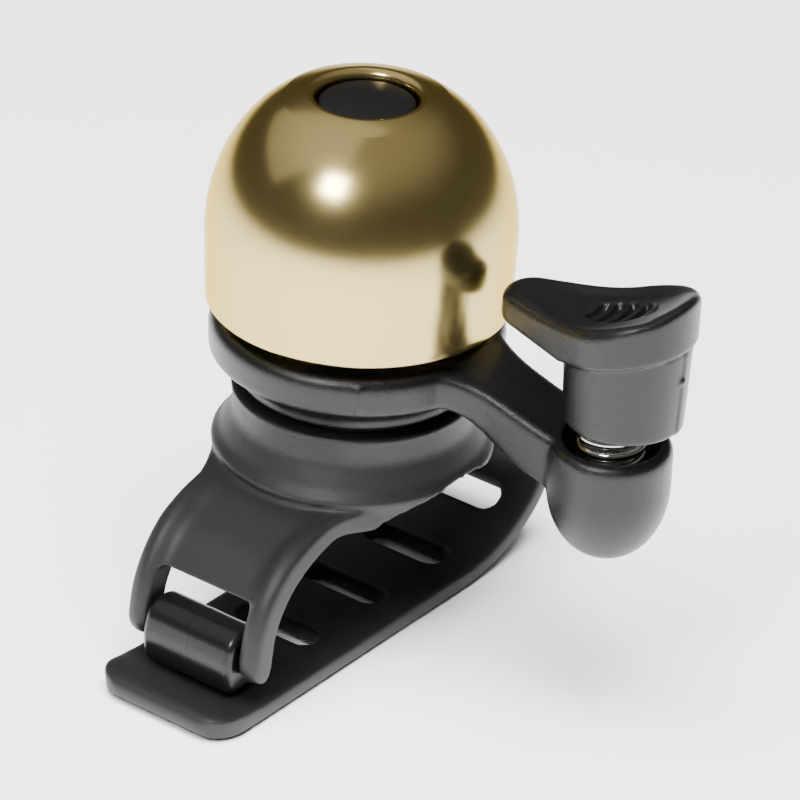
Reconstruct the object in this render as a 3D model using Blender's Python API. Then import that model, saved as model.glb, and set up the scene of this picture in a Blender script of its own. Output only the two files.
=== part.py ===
"""Bicycle bell: a brass dome on a swivelling plastic bracket, clamped to a handlebar by a rubber strap.

Frame: metres, +Z up along the dome's axis, +X along the handlebar.  The origin is the crown of the
strap's saddle, the point that sits on the handlebar.  The tongue of the strap is flat and level.
"""
import math

import bmesh
import bpy
from mathutils import Matrix, Vector

MM = 0.001

# ---------------------------------------------------------------- fits
GAP = 0.3 * MM                  # between faces that rest on each other
RUNNING = 0.3 * MM              # radial clearance of pins, screws and bores

# ---------------------------------------------------------------- strap
SEAT_RADIUS = 15.0 * MM         # arch of the saddle, for round handlebars
STRAP_WIDTH = 18.5 * MM
BAND_THICKNESS = 2.3 * MM
LOOP_DEPTH = 19.7 * MM          # saddle crown to the tongue's upper face
SADDLE_SHELF = 2.2 * MM         # top of the saddle beside the collar
SADDLE_HALF = 10.2 * MM         # half length of the saddle along Y
LOOP_BACK = 27.0 * MM           # furthest point of the bend from the axis
TAB_END = -34.3 * MM            # front edge of the pull tab
TAB_THICKNESS = 3.0 * MM
TAB_CORNER = 4.0 * MM
SLOT_WIDTH = 3.9 * MM
SLOT_LENGTH = 11.0 * MM
SLOT_PITCH = 11.8 * MM
HOOK_SLOT_Y = -24.2 * MM
FLAT_SLOTS = 4
BEND_SLOT_Y = 22.2 * MM
BEND_SLOT_TILT = math.radians(42)

COLLAR_RIM_RADIUS = 13.8 * MM
COLLAR_HEIGHT = 6.6 * MM
FLANGE_RADIUS = 15.7 * MM
POCKET_FLOOR = 1.9 * MM

# ---------------------------------------------------------------- hook
PIN_Y = -25.2 * MM
PIN_Z = -14.6 * MM
PIN_RADIUS = 0.9 * MM
PIN_LENGTH = 16.2 * MM
BULB_RADIUS = 2.3 * MM
HOOK_WIDTH = 12.4 * MM
HOOK_FRONT = 3.7 * MM            # pin to the hook's front face
HOOK_BACK = 2.4 * MM
HOOK_TOP = 2.7 * MM
WINDOW_TOP = -9.7 * MM

# ---------------------------------------------------------------- bracket
PLATE_RADIUS = 16.6 * MM
PLATE_THICKNESS = 4.8 * MM
PLATE_EDGE = 1.4 * MM
NECK_HEIGHT = 3.3 * MM
NECK_RADIUS = 12.6 * MM
ARM_ANGLE = math.radians(3.2)   # swivel position at rest
STRIKER_REACH = 33.5 * MM       # dome axis to the spring's axis
ARM_WIDTH = 9.0 * MM
ARM_DEPTH = 7.2 * MM
CUP_RADIUS = 6.8 * MM
CUP_HEIGHT = 14.1 * MM
CUP_DROP = 4.4 * MM             # plate top down to the cup's mouth

# ---------------------------------------------------------------- bell
BELL_RADIUS = 17.0 * MM
BELL_FLARE = 0.25 * MM           # the skirt is this much wider at its top
BELL_WALL = 1.2 * MM
BELL_SKIRT = 8.4 * MM           # straight part of the wall
BELL_HEIGHT = 24.6 * MM         # rim to the top of the crown's roll
BELL_FULLNESS = 2.35            # 2 is an ellipse, more is squarer
BELL_GAP = 1.8 * MM             # plate top to rim
CROWN_HOLE = 5.75 * MM
CROWN_ROLL = 1.1 * MM
WELL_DEPTH = 3.8 * MM

# ---------------------------------------------------------------- striker
SPRING_RADIUS = 3.4 * MM        # to the middle of the wire
WIRE_RADIUS = 0.6 * MM
SPRING_PITCH = 1.5 * MM
SPRING_IN_CUP = 8.2 * MM        # length of the coil below the cup's mouth
SPIGOT = 5.0 * MM               # moulded peg inside each end of the coil
STRIKER_RADIUS = 6.95 * MM
STRIKER_TAPER = 0.4 * MM         # narrower at the lower edge
BODY_OFFSET = 1.2 * MM          # body's axis outside the spring's
STRIKER_GAP = 2.9 * MM          # cup mouth to the striker's lower edge
STRIKER_BODY = 11.2 * MM        # lower edge to its end inside the head
HEAD_HALF_WIDTH = 7.4 * MM
NOSE_RADIUS = 3.6 * MM
NOSE_GAP = 2.2 * MM             # nose to the dome's wall
HEAD_NOSE_TOP = 11.9 * MM       # head's top above the body's lower edge, at the nose
HEAD_RISE = 6.0 * MM            # and how much higher the outer end is
HEAD_NOSE_LOW = 8.4 * MM        # head's lower edge at the nose
HEAD_STEP_LOW = 7.7 * MM        # and where it meets the body's inner side
HEAD_STEP_RISE = 2.9 * MM       # its rise to the outer end

# ---------------------------------------------------------------- bolts
BOLT_RADIUS = 2.5 * MM
BOLT_HEAD_RADIUS = 4.4 * MM
BOLT_HEAD = 1.9 * MM
WASHER = 0.5 * MM
NUT = 2.4 * MM
POST_RADIUS = 4.2 * MM
SCREW_RADIUS = 1.5 * MM

# ---------------------------------------------------------------- places that follow
COLLAR_TOP = COLLAR_HEIGHT
GLIDE_Z = COLLAR_TOP
GLIDE_THICKNESS = 0.5 * MM
NECK_BOTTOM = GLIDE_Z + GLIDE_THICKNESS + GAP
PLATE_BOTTOM = NECK_BOTTOM + NECK_HEIGHT
PLATE_TOP = PLATE_BOTTOM + PLATE_THICKNESS
RIM_Z = PLATE_TOP + BELL_GAP
CROWN_Z = RIM_Z + BELL_HEIGHT
MOUTH_Z = PLATE_TOP - CUP_DROP
HINGE_Z = MOUTH_Z + STRIKER_GAP / 2
BODY_LOW = MOUTH_Z + STRIKER_GAP
BODY_HIGH = BODY_LOW + STRIKER_BODY
TONGUE_TOP = -LOOP_DEPTH
TONGUE_LOW = TONGUE_TOP - BAND_THICKNESS
BULB_INNER = HOOK_WIDTH / 2 + GAP
BEND_SLOT_Z = TONGUE_LOW + 4.9 * MM
FINE, MEDIUM, COARSE = 40, 28, 18


# ================================================================ helpers
def clear_scene():
    """Remove whatever the file opened with."""
    for obj in list(bpy.data.objects):
        bpy.data.objects.remove(obj, do_unlink=True)


def material(name, colour, roughness, metallic=0.0):
    """One Principled material with a plain colour."""
    made = bpy.data.materials.new(name)
    made.use_nodes = True
    shader = made.node_tree.nodes["Principled BSDF"]
    shader.inputs["Base Color"].default_value = (*colour, 1.0)
    shader.inputs["Roughness"].default_value = roughness
    shader.inputs["Metallic"].default_value = metallic
    return made


def axis_empty(name, place, turn=0.0, parent=None):
    """An empty on a joint's axis; what hangs on it is modelled in its frame."""
    empty = bpy.data.objects.new(name, None)
    empty.location = place
    empty.rotation_euler = (0.0, 0.0, turn)
    empty.parent = parent
    bpy.context.scene.collection.objects.link(empty)
    return empty


def add_object(name, bm, finish=None, parent=None, smooth=True):
    """Turn a bmesh into a named object with outward faces."""
    bmesh.ops.remove_doubles(bm, verts=bm.verts, dist=1e-7)
    bmesh.ops.recalc_face_normals(bm, faces=bm.faces)
    mesh = bpy.data.meshes.new(name)
    bm.to_mesh(mesh)
    bm.free()
    if finish:
        mesh.materials.append(finish)
    if smooth:
        mesh.shade_smooth()
        mesh.set_sharp_from_angle(angle=math.radians(35))
    obj = bpy.data.objects.new(name, mesh)
    obj.parent = parent
    bpy.context.scene.collection.objects.link(obj)
    return obj


def loft(rings, closed=False):
    """Skin between rings of equal count; the ends are capped unless the rings close on themselves."""
    bm = bmesh.new()
    rows = [[bm.verts.new(point) for point in ring] for ring in rings]
    pairs = list(zip(rows, rows[1:]))
    if closed:
        pairs.append((rows[-1], rows[0]))
    for low, high in pairs:
        count = len(low)
        for i in range(count):
            j = (i + 1) % count
            bm.faces.new((low[i], low[j], high[j], high[i]))
    if not closed:
        bm.faces.new(rows[0])
        bm.faces.new(rows[-1])
    return bm


def turned(profile, count, centre=(0.0, 0.0), start=0.0):
    """Revolve a closed profile of (radius, z) points about a vertical axis; a radius of 0 is a pole.

    start turns the facets, so that a cutter's edges don't fall on those of what it cuts.
    """
    bm = bmesh.new()
    rows = []
    for radius, z in profile:
        if radius <= 0.0:
            rows.append([bm.verts.new((centre[0], centre[1], z))])
            continue
        angles = [start + 2 * math.pi * i / count for i in range(count)]
        rows.append([bm.verts.new((centre[0] + radius * math.cos(a), centre[1] + radius * math.sin(a), z))
                     for a in angles])
    for low, high in zip(rows, rows[1:] + rows[:1]):
        if len(low) == 1 and len(high) == 1:
            continue
        for i in range(count):
            j = (i + 1) % count
            corners = [low[i % len(low)], low[j % len(low)], high[j % len(high)], high[i % len(high)]]
            bm.faces.new(list(dict.fromkeys(corners)))
    return bm


def prism(outline, low, high):
    """Extrude a plan outline of (x, y) points between two heights."""
    return loft([[(x, y, low) for x, y in outline], [(x, y, high) for x, y in outline]])


def polygon(radius, sides, turn=0.0):
    """A regular outline about the axis."""
    return [(radius * math.cos(turn + 2 * math.pi * i / sides),
             radius * math.sin(turn + 2 * math.pi * i / sides)) for i in range(sides)]


def rod_x(radius, low_x, high_x, y, z, sides):
    """A round bar along X."""
    ring = polygon(radius, sides, math.pi / sides)
    return loft([[(x, y + a, z + b) for a, b in ring] for x in (low_x, high_x)])


def arc(centre, radius, start, end, count):
    """Points of a round stretch, in degrees, both ends included."""
    steps = [math.radians(start + (end - start) * i / (count - 1)) for i in range(count)]
    return [(centre[0] + radius * math.cos(a), centre[1] + radius * math.sin(a)) for a in steps]


def bezier(p0, p1, p2, p3, count):
    """Points of a cubic curve, both ends included."""
    points = []
    for i in range(count):
        t = i / (count - 1)
        weights = ((1 - t) ** 3, 3 * t * (1 - t) ** 2, 3 * t * t * (1 - t), t ** 3)
        points.append(tuple(sum(w * p[k] for w, p in zip(weights, (p0, p1, p2, p3))) for k in (0, 1)))
    return points


def combine(obj, tool_bm, operation, name, parent=None):
    """Join or cut with a hidden tool that stays in the file as a guide."""
    tool = add_object(name, tool_bm, parent=parent, smooth=False)
    tool.hide_render = True
    tool.display_type = "WIRE"
    step = obj.modifiers.new(name, "BOOLEAN")
    step.object = tool
    step.operation = operation
    step.solver = "EXACT"


def ring_profile(inner, outer, low, high):
    """Section of a plain ring."""
    return [(inner, low), (outer, low), (outer, high), (inner, high)]


# ================================================================ strap
def strap_sides():
    """Outer and inner edge of the strap in the YZ plane, from the fork round the bend to the tab."""
    half, shelf = SADDLE_HALF, SADDLE_SHELF
    arch_end = math.sqrt(SEAT_RADIUS ** 2 - half ** 2) - SEAT_RADIUS - 0.2 * MM
    side, rise = 0.72 * BULB_RADIUS, 0.5 * BULB_RADIUS
    outer = bezier((PIN_Y - side, PIN_Z + rise), (PIN_Y + 0.7 * MM, PIN_Z + 8.2 * MM),
                   (-half - 6.0 * MM, shelf - 2.7 * MM), (-half, shelf), 9)
    inner = bezier((PIN_Y + side, PIN_Z + rise), (PIN_Y + 3.0 * MM, PIN_Z + 7.2 * MM),
                   (-half - 4.5 * MM, arch_end + 0.4 * MM), (-half, arch_end), 9)
    steps = 8
    for i in range(1, steps + 1):
        y = -half + 2 * half * i / steps
        outer.append((y, shelf))
        inner.append((y, arch_end))
    back, middle = LOOP_BACK, -LOOP_DEPTH / 2
    wall = BAND_THICKNESS + 0.4 * MM
    outer += bezier((half, shelf), (half + 6.0 * MM, shelf - 2.7 * MM), (back - 2.3 * MM, shelf - 5.7 * MM),
                    (back, middle), 7)[1:]
    inner += bezier((half, arch_end), (half + 4.5 * MM, arch_end + 0.2 * MM),
                    (back - wall - 2.1 * MM, arch_end + 0.8 * MM), (back - wall, middle), 7)[1:]
    flat_start = half - 2.0 * MM
    outer += bezier((back, middle), (back + 0.7 * MM, middle - 3.9 * MM), (half + 9.5 * MM, TONGUE_LOW),
                    (flat_start, TONGUE_LOW), 9)[1:]
    inner += bezier((back - wall, middle), (back - wall + 0.5 * MM, middle - 3.2 * MM),
                    (half + 7.8 * MM, TONGUE_TOP), (flat_start, TONGUE_TOP), 9)[1:]
    tab_start = PIN_Y - HOOK_FRONT - 0.4 * MM
    tab_top = TONGUE_LOW + TAB_THICKNESS
    for y, top in ((tab_start, TONGUE_TOP), (tab_start - 1.2 * MM, tab_top)):
        outer.append((y, TONGUE_LOW))
        inner.append((y, top))
    for y, _ in arc((TAB_END + TAB_CORNER, 0.0), TAB_CORNER, 90, 180, 5):
        outer.append((y, TONGUE_LOW))
        inner.append((y, tab_top))
    return outer, inner


def strap_half_width(y, index, count):
    """Half width of the strap: even, with round corners at the end of the tab."""
    half = STRAP_WIDTH / 2
    into_corner = TAB_END + TAB_CORNER - y
    if index > count / 2 and into_corner > 0.0:
        return half - TAB_CORNER + math.sqrt(max(TAB_CORNER ** 2 - into_corner ** 2, 0.0))
    return half


def strap_section(outer, inner, half):
    """Rounded rectangle between an outer and an inner point."""
    top, low = Vector((0, *outer)), Vector((0, *inner))
    across = low - top
    corner = min(0.6 * MM, across.length * 0.3)
    step = across.normalized() * corner
    side = Vector((1, 0, 0))
    upper = [top + side * (-half + corner), top + side * (half - corner)]
    right = [top + side * half + step, low + side * half - step]
    lower = [low + side * (half - corner), low + side * (-half + corner)]
    left = [low - side * half - step, top - side * half + step]
    return upper + right + lower + left


def slot_outline(y):
    """Long hole across the strap, round at both ends."""
    radius = SLOT_WIDTH / 2
    straight = SLOT_LENGTH / 2 - radius
    return arc((straight, y), radius, -90, 90, 7) + arc((-straight, y), radius, 90, 270, 7)


def make_strap(rubber):
    """Saddle, collar, fork, bend, slotted tongue and tab: one rubber moulding."""
    outer, inner = strap_sides()
    count = len(outer)
    rings = [strap_section(o, i, strap_half_width(o[0], n, count)) for n, (o, i) in enumerate(zip(outer, inner))]
    strap = add_object("strap", loft(rings), rubber)
    rim, lip = COLLAR_RIM_RADIUS, FLANGE_RADIUS
    collar = [(0.0, -3.8 * MM), (lip - 0.5 * MM, -3.8 * MM), (lip - 0.2 * MM, -1.0 * MM), (lip, -0.3 * MM),
              (lip - 0.2 * MM, 0.2 * MM), (lip - 1.0 * MM, 1.2 * MM), (rim + 0.2 * MM, 2.4 * MM),
              (rim - 0.1 * MM, 3.8 * MM), (rim, COLLAR_TOP - 0.2 * MM), (rim - 0.4 * MM, COLLAR_TOP),
              (0.0, COLLAR_TOP)]
    combine(strap, turned(collar, FINE), "UNION", "collar_block")
    combine(strap, rod_x(BULB_RADIUS, -STRAP_WIDTH / 2, STRAP_WIDTH / 2, PIN_Y, PIN_Z, 20), "UNION", "fork_bulb")
    reach = FLANGE_RADIUS + 2 * MM
    arch = arc((0.0, -SEAT_RADIUS), SEAT_RADIUS, 35, 145, 23)
    combine(strap, loft([[(x, y, z) for y, z in arch] for x in (-reach, reach)]), "DIFFERENCE", "handlebar_seat")
    pocket = [(0.0, POCKET_FLOOR), (POCKET_RADIUS, POCKET_FLOOR), (POCKET_RADIUS, COLLAR_TOP + 2 * MM),
              (0.0, COLLAR_TOP + 2 * MM)]
    combine(strap, turned(pocket, FINE), "DIFFERENCE", "insert_pocket")
    window = [(-BULB_INNER, PIN_Y - 6 * MM), (BULB_INNER, PIN_Y - 6 * MM), (BULB_INNER, PIN_Y + 8 * MM),
              (-BULB_INNER, PIN_Y + 8 * MM)]
    combine(strap, prism(window, PIN_Z - 2 * BULB_RADIUS + 2.2 * MM, WINDOW_TOP), "DIFFERENCE", "fork_window")
    pin_hole = PIN_LENGTH / 2 + GAP
    combine(strap, rod_x(PIN_RADIUS + GAP, -pin_hole, pin_hole, PIN_Y, PIN_Z, COARSE), "DIFFERENCE", "pin_hole")
    for n in range(FLAT_SLOTS):
        outline = slot_outline(HOOK_SLOT_Y + n * SLOT_PITCH)
        combine(strap, prism(outline, TONGUE_LOW - 2 * MM, TONGUE_TOP + 1.4 * MM), "DIFFERENCE", f"slot_{n + 1}")
    bend_slot = prism(slot_outline(0.0), -4 * MM, 4 * MM)
    bend_slot.transform(Matrix.Translation((0.0, BEND_SLOT_Y, BEND_SLOT_Z)) @ Matrix.Rotation(BEND_SLOT_TILT, 4, "X"))
    combine(strap, bend_slot, "DIFFERENCE", "bend_slot")
    return strap


# ================================================================ hook
def make_hook(plastic, steel, hook_axis):
    """A barrel on the pin, and a blade that drops through the tongue's first slot and turns under it."""
    half = HOOK_WIDTH / 2
    blade_half = SLOT_LENGTH / 2 - 1.0 * MM
    drop = TONGUE_TOP - PIN_Z
    foot = drop + GAP + 0.2 * MM
    slot_back = HOOK_SLOT_Y + SLOT_WIDTH / 2 - PIN_Y
    slot_front = HOOK_SLOT_Y - SLOT_WIDTH / 2 - PIN_Y
    blade_back, blade_front = slot_back - 0.9 * MM, slot_front + 0.9 * MM
    front_round, back_round = 2.6 * MM, 2.2 * MM
    outline = arc((HOOK_BACK - back_round, HOOK_TOP - back_round), back_round, 0, 90, 6)
    outline += arc((front_round - HOOK_FRONT, HOOK_TOP - front_round), front_round, 90, 180, 7)
    outline += [(-HOOK_FRONT, foot + 0.6 * MM), (0.5 * MM - HOOK_FRONT, foot), (HOOK_BACK - 0.3 * MM, foot),
                (HOOK_BACK, foot + 0.4 * MM)]
    hook = add_object("strap_hook", loft([[(x, a, b) for a, b in outline] for x in (-half, half)]),
                      plastic, hook_axis)
    blade = [(blade_front, drop + 1.2 * MM), (blade_front, drop - BAND_THICKNESS + 0.2 * MM),
             (blade_back, drop - BAND_THICKNESS + 0.2 * MM), (blade_back, drop + 1.2 * MM)]
    combine(hook, loft([[(x, a, b) for a, b in blade] for x in (-blade_half, blade_half)]), "UNION",
            "hook_blade", hook_axis)
    combine(hook, rod_x(PIN_RADIUS + RUNNING, -half - MM, half + MM, 0.0, 0.0, COARSE), "DIFFERENCE",
            "hook_bore", hook_axis)
    pin = rod_x(PIN_RADIUS, -PIN_LENGTH / 2, PIN_LENGTH / 2, PIN_Y, PIN_Z, COARSE)
    add_object("hook_pin", pin, steel)


# ================================================================ swivel stack
INSERT_LOW = POCKET_FLOOR + GAP
INSERT_TOP = GLIDE_Z - GAP
INSERT_RADIUS = 10.8 * MM
POCKET_RADIUS = INSERT_RADIUS + GAP
HEAD_LOW = INSERT_LOW + 0.1 * MM
HEAD_TOP = HEAD_LOW + BOLT_HEAD
WASHER_LOW = HEAD_TOP + GAP
HEX_POCKET_TOP = WASHER_LOW + WASHER + GAP
RECESS_FLOOR = PLATE_TOP - 2.2 * MM
NUT_RECESS_RADIUS = 8.0 * MM
WAVE_LOW = RECESS_FLOOR + GAP
NUT_LOW = WAVE_LOW + 0.9 * MM + GAP
NUT_TOP = NUT_LOW + NUT
POST_LOW = NUT_TOP + GAP
BOLT_TOP = POST_LOW + 3.5 * MM
WELL_FLOOR = CROWN_Z - WELL_DEPTH
WEB_LOW = WELL_FLOOR - BELL_WALL
GROMMET_LOW = WEB_LOW - GAP - 1.0 * MM
POST_WASHER_LOW = GROMMET_LOW - GAP - WASHER
POST_TOP = POST_WASHER_LOW - GAP
SLEEVE_RADIUS = 3.2 * MM
WEB_HOLE = SLEEVE_RADIUS + GAP
BUSH_TOP = WELL_FLOOR + GAP + 0.6 * MM
SCREW_HEAD_LOW = BUSH_TOP + GAP
SCREW_HEAD_TOP = SCREW_HEAD_LOW + 0.9 * MM


def make_swivel(nylon, steel, zinc):
    """Insert in the collar, keyed bolt, washer, glide ring, friction washer and nut."""
    block = [(0.0, INSERT_LOW), (INSERT_RADIUS, INSERT_LOW), (INSERT_RADIUS, INSERT_TOP), (0.0, INSERT_TOP)]
    insert = add_object("swivel_insert", turned(block, FINE), nylon)
    hexagon = polygon(BOLT_HEAD_RADIUS + GAP / math.cos(math.pi / 6), 6)
    combine(insert, prism(hexagon, INSERT_LOW - MM, HEX_POCKET_TOP), "DIFFERENCE", "hex_pocket")
    bore = ring_profile(0.0, BOLT_RADIUS + RUNNING, INSERT_LOW - 2 * MM, INSERT_TOP + 2 * MM)
    combine(insert, turned(bore, MEDIUM), "DIFFERENCE", "insert_bore")

    bolt = add_object("pivot_bolt", prism(polygon(BOLT_HEAD_RADIUS, 6), HEAD_LOW, HEAD_TOP), zinc)
    shank = ring_profile(0.0, BOLT_RADIUS, HEAD_LOW + 0.5 * MM, BOLT_TOP)
    combine(bolt, turned(shank, MEDIUM), "UNION", "bolt_shank")
    across_flats = BOLT_HEAD_RADIUS * math.cos(math.pi / 6)
    bore_radius = BOLT_RADIUS + RUNNING
    add_object("bolt_washer", turned(ring_profile(bore_radius, across_flats, WASHER_LOW, WASHER_LOW + WASHER),
                                     MEDIUM), steel)
    add_object("glide_ring", turned(ring_profile(bore_radius, INSERT_RADIUS, GLIDE_Z, GLIDE_Z + GLIDE_THICKNESS),
                                    FINE), nylon)
    crest = WAVE_LOW + 0.9 * MM
    wave = [(bore_radius, WAVE_LOW + 0.4 * MM), (6.2 * MM, WAVE_LOW), (6.2 * MM, WAVE_LOW + 0.5 * MM),
            (bore_radius, crest)]
    add_object("wave_washer", turned(wave, MEDIUM), steel)
    nut = add_object("jam_nut", prism(polygon(BOLT_HEAD_RADIUS, 6), NUT_LOW, NUT_TOP), zinc)
    nut_bore = ring_profile(0.0, bore_radius, NUT_LOW - MM, NUT_TOP + MM)
    combine(nut, turned(nut_bore, MEDIUM), "DIFFERENCE", "nut_bore")


# ================================================================ bell
def bell_outer_radius(height):
    """Radius of the dome's outside at a height over the rim."""
    top = BELL_HEIGHT + 1.5 * MM
    share = max(height - BELL_SKIRT, 0.0) / (top - BELL_SKIRT)
    flare = BELL_FLARE * min(height / BELL_SKIRT, 1.0)
    return (BELL_RADIUS + flare) * (1 - share ** 2) ** (1 / BELL_FULLNESS)


def make_bell(brass):
    """Pressed dome: straight skirt, full shoulder, rolled crown and a sunk web with a hole."""
    crest_radius = CROWN_HOLE + CROWN_ROLL
    steps = 13
    outside = [(BELL_RADIUS, 0.0), (BELL_RADIUS, BELL_SKIRT / 2)]
    for i in range(steps):
        share = math.sin(i / (steps - 1) * math.pi / 2)
        outside.append((None, BELL_SKIRT + (BELL_HEIGHT - 0.9 * MM - BELL_SKIRT) * share))
    outside = [(bell_outer_radius(z), z) for _, z in outside]
    outside = [point for point in outside if point[0] > crest_radius + 1.2 * MM]
    roll = arc((crest_radius, BELL_HEIGHT - CROWN_ROLL), CROWN_ROLL, 60, 180, 6)
    web_top = BELL_HEIGHT - WELL_DEPTH
    inside_web = [(CROWN_HOLE, web_top), (WEB_HOLE, web_top), (WEB_HOLE, web_top - BELL_WALL),
                  (CROWN_HOLE + 0.3 * MM, web_top - BELL_WALL)]
    inside = []
    for radius, z in reversed(outside):
        inner = radius - BELL_WALL
        low = z - BELL_WALL * (max(z - BELL_SKIRT, 0.0) / (BELL_HEIGHT - BELL_SKIRT)) ** 2
        inside.append((max(inner, CROWN_HOLE + 0.9 * MM), min(low, web_top - BELL_WALL + 0.4 * MM)))
    profile = outside + roll + inside_web + inside
    add_object("bell_dome", turned([(r, RIM_Z + z) for r, z in profile], FINE), brass)


def make_bell_mounting(steel, zinc, rubber, gloss):
    """Post, washers, rubber bushes, screw and cap along the dome's axis."""
    deep, thread = BOLT_TOP + GAP, SCREW_RADIUS + RUNNING
    post = [(BOLT_RADIUS + RUNNING, POST_LOW), (POST_RADIUS, POST_LOW), (POST_RADIUS, POST_TOP), (thread, POST_TOP),
            (thread, deep + MM), (BOLT_RADIUS + RUNNING, deep)]
    add_object("centre_post", turned(post, MEDIUM), steel)
    hole = thread
    add_object("post_washer", turned(ring_profile(hole, 5.0 * MM, POST_WASHER_LOW, POST_WASHER_LOW + WASHER),
                                     MEDIUM), steel)
    add_object("lower_grommet", turned(ring_profile(hole, 5.4 * MM, GROMMET_LOW, WEB_LOW - GAP), MEDIUM), rubber)
    bush = [(hole, WEB_LOW), (SLEEVE_RADIUS, WEB_LOW), (SLEEVE_RADIUS, WELL_FLOOR + GAP),
            (CROWN_HOLE - 0.6 * MM, WELL_FLOOR + GAP), (CROWN_HOLE - 0.6 * MM, BUSH_TOP), (hole, BUSH_TOP)]
    add_object("upper_grommet", turned(bush, MEDIUM), rubber)
    screw = [(0.0, POST_TOP - 7 * MM), (SCREW_RADIUS, POST_TOP - 7 * MM), (SCREW_RADIUS, SCREW_HEAD_LOW),
             (3.0 * MM, SCREW_HEAD_LOW), (3.0 * MM, SCREW_HEAD_TOP - 0.3 * MM), (2.5 * MM, SCREW_HEAD_TOP),
             (0.0, SCREW_HEAD_TOP)]
    add_object("dome_screw", turned(screw, MEDIUM), zinc)
    outer = CROWN_HOLE - GAP
    low, roof = BUSH_TOP + GAP, SCREW_HEAD_TOP + GAP
    cap = [(3.0 * MM + GAP, low), (outer, low), (outer, low + 0.9 * MM), (outer - 0.7 * MM, low + 1.45 * MM),
           (outer - 2.4 * MM, low + 2.05 * MM), (0.0, low + 2.35 * MM), (0.0, roof), (3.0 * MM + GAP, roof)]
    add_object("top_cap", turned(cap, FINE), gloss)


# ================================================================ bracket
def make_bracket(plastic, swivel_axis):
    """Base plate, neck, arm and spring cup: one moulding, arm along its own +X."""
    edge = PLATE_EDGE
    bore, recess = BOLT_RADIUS + RUNNING, NUT_RECESS_RADIUS
    plate = [(bore, NECK_BOTTOM), (NECK_RADIUS, NECK_BOTTOM), (NECK_RADIUS + 0.5 * MM, NECK_BOTTOM + 1.2 * MM),
             (PLATE_RADIUS - 1.5 * MM, PLATE_BOTTOM - 0.3 * MM), (PLATE_RADIUS - 0.3 * MM, PLATE_BOTTOM),
             (PLATE_RADIUS, PLATE_BOTTOM + 0.5 * MM)]
    plate += arc((PLATE_RADIUS - edge, PLATE_TOP - edge), edge, 0, 90, 4)
    plate += [(recess, PLATE_TOP), (recess, RECESS_FLOOR), (bore, RECESS_FLOOR)]
    bracket = add_object("bracket", turned(plate, FINE), plastic, swivel_axis)

    cup_low = MOUTH_Z - CUP_HEIGHT
    cup = [(0.0, cup_low)]
    for i in range(1, 8):
        turn = math.radians(90 * i / 7)
        cup.append((CUP_RADIUS * math.sin(turn) ** 0.9, cup_low + CUP_HEIGHT * 0.62 * (1 - math.cos(turn))))
    cup += [(CUP_RADIUS, MOUTH_Z - 1.0 * MM), (CUP_RADIUS - 0.3 * MM, MOUTH_Z - 0.3 * MM),
            (CUP_RADIUS - 0.9 * MM, MOUTH_Z), (0.0, MOUTH_Z)]
    combine(bracket, turned(cup, MEDIUM, (STRIKER_REACH, 0.0)), "UNION", "cup_block", swivel_axis)

    root, end = PLATE_RADIUS - 6 * MM, STRIKER_REACH
    sections = []
    for share in (0.0, 0.25, 0.5, 0.75, 1.0):
        x = root + (end - root) * share
        ease = share * share * (3 - 2 * share)
        top = PLATE_TOP - 0.2 * MM - (CUP_DROP + 0.05 * MM) * ease
        low = top - ARM_DEPTH
        half = ARM_WIDTH / 2 + (CUP_RADIUS - ARM_WIDTH / 2 - 0.4 * MM) * share ** 3
        corner = 1.0 * MM
        sections.append([(x, -half, low + corner), (x, -half + corner, low), (x, half - corner, low),
                         (x, half, low + corner), (x, half, top - corner), (x, half - corner, top),
                         (x, -half + corner, top), (x, -half, top - corner)])
    combine(bracket, loft(sections), "UNION", "arm_block", swivel_axis)

    throat = SPRING_RADIUS + WIRE_RADIUS + RUNNING
    floor = SPRING_LOW - GAP
    well = [(0.0, floor + SPIGOT), (SPIGOT_RADIUS, floor + SPIGOT), (SPIGOT_RADIUS, floor), (throat, floor), (throat, MOUTH_Z - 2.6 * MM),
            (CUP_RADIUS - 1.6 * MM, MOUTH_Z - 0.9 * MM), (CUP_RADIUS - 1.4 * MM, MOUTH_Z + MM), (0.0, MOUTH_Z + MM)]
    combine(bracket, turned(well, 26, (STRIKER_REACH, 0.0), 0.05), "DIFFERENCE", "spring_well", swivel_axis)


# ================================================================ striker
SPRING_LOW = MOUTH_Z - SPRING_IN_CUP
SPRING_TOP = BODY_HIGH - 1.6 * MM
SPIGOT_RADIUS = SPRING_RADIUS - WIRE_RADIUS - RUNNING


def make_spring(steel, swivel_axis):
    """Coil of round wire from the cup's well up into the striker, its turns worked out one by one."""
    turns = (SPRING_TOP - SPRING_LOW - 2 * WIRE_RADIUS) / SPRING_PITCH
    count = int(turns * 14)
    rings = []
    for i in range(count + 1):
        angle = 2 * math.pi * turns * i / count
        middle = Vector((math.cos(angle) * SPRING_RADIUS, math.sin(angle) * SPRING_RADIUS,
                         SPRING_LOW + WIRE_RADIUS + SPRING_PITCH * turns * i / count))
        out = Vector((math.cos(angle), math.sin(angle), 0.0))
        centre = middle + Vector((STRIKER_REACH, 0.0, 0.0))
        ring = [centre + out * (WIRE_RADIUS * math.cos(a)) + Vector((0, 0, WIRE_RADIUS * math.sin(a)))
                for a in (2 * math.pi * k / 6 for k in range(6))]
        rings.append(ring)
    add_object("striker_spring", loft(rings), steel, swivel_axis)


def head_outline(inset):
    """Plan of the thumb head: a round outer end that narrows to the nose, moved in by inset."""
    nose_x = BELL_RADIUS + NOSE_GAP + NOSE_RADIUS - STRIKER_REACH
    big, small = HEAD_HALF_WIDTH - inset, NOSE_RADIUS - inset
    lean = math.degrees(math.acos((big - small) / (BODY_OFFSET - nose_x)))
    outer = arc((BODY_OFFSET, 0.0), big, -180 + lean, 180 - lean, 23)
    nose = arc((nose_x, 0.0), small, 180 - lean, 180 + lean, 9)
    return outer + nose


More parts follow.
